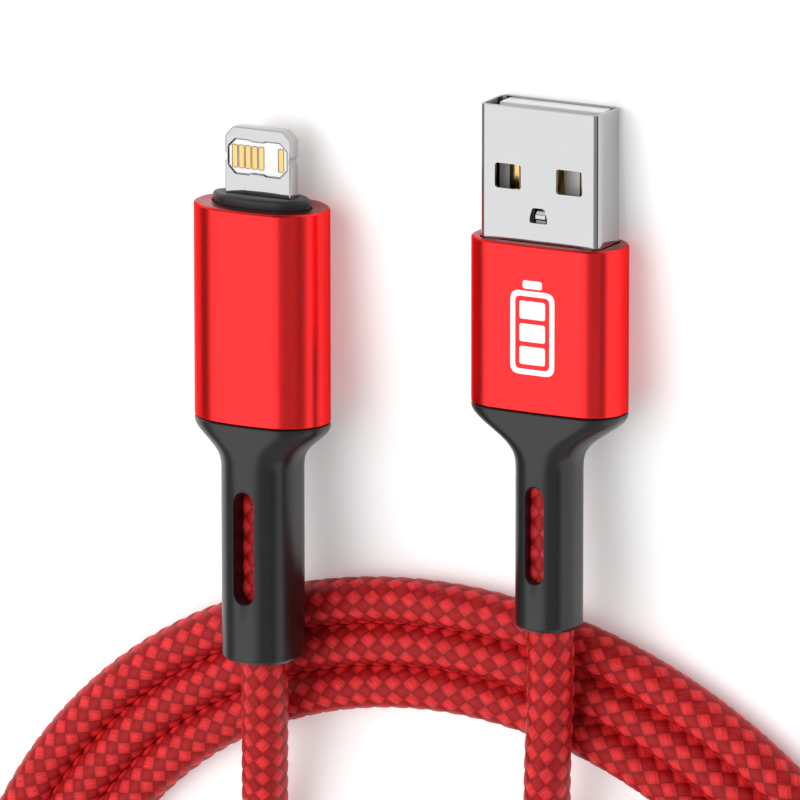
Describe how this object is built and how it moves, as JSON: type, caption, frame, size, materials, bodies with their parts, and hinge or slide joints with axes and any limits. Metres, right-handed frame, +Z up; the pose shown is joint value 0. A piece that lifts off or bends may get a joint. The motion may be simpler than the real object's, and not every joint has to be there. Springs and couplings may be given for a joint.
{
  "type": "charging cable",
  "caption": "Short braided charging cable with a wide rectangular plug and a slim reversible plug, metal sleeves and slotted strain-relief boots, lying in a loose coil.",
  "frame": {"origin": "on the floor, under the centre of the box that holds the two plugs with their sleeves and boots", "axes": "+Y towards the plugs' tips, +Z up from the floor, +X from the slim plug to the wide plug"},
  "size_m": [0.1063, 0.1204, 0.0123],
  "materials": {
    "steel": "bright nickel-plated steel",
    "red_aluminium": "satin red anodised",
    "black_rubber": "matte moulded",
    "white_plastic": "satin",
    "black_plastic": "satin",
    "inner_plastic": "moulded",
    "green_board": "solder mask",
    "gold": "gold-plated",
    "braid": "two-tone diamond braid, red and dark red nylon",
    "wire_red": "insulation",
    "wire_white": "insulation",
    "wire_green": "insulation",
    "wire_black": "insulation"
  },
  "bodies": {
    "root": {"type_a_shield": "steel", "type_a_tongue": "white_plastic", "type_a_contact_1": "gold", "type_a_contact_2": "gold", "type_a_contact_3": "gold", "type_a_contact_4": "gold", "type_a_inner_block": "inner_plastic", "type_a_wire_1": "wire_red", "type_a_wire_2": "wire_white", "type_a_wire_3": "wire_green", "type_a_wire_4": "wire_black", "type_a_sleeve": "red_aluminium", "type_a_ferrule": "steel", "type_a_boot": "black_rubber", "slim_frame": "steel", "slim_contact_front_1": "gold", "slim_contact_front_2": "gold", "slim_contact_front_3": "gold", "slim_contact_front_4": "gold", "slim_contact_front_5": "gold", "slim_contact_front_6": "gold", "slim_contact_back_1": "gold", "slim_contact_back_2": "gold", "slim_contact_back_3": "gold", "slim_contact_back_4": "gold", "slim_contact_back_5": "gold", "slim_contact_back_6": "gold", "slim_insulator": "white_plastic", "slim_collar": "black_plastic", "slim_circuit_board": "green_board", "slim_chip": "black_plastic", "slim_inner_block": "inner_plastic", "slim_wire_1": "wire_red", "slim_wire_2": "wire_white", "slim_wire_3": "wire_green", "slim_wire_4": "wire_black", "slim_sleeve": "red_aluminium", "slim_ferrule": "steel", "slim_boot": "black_rubber", "cord_coil": "braid", "cord_tail_type_a": "braid", "cord_tail_slim": "braid"}
  },
  "joints": []
}
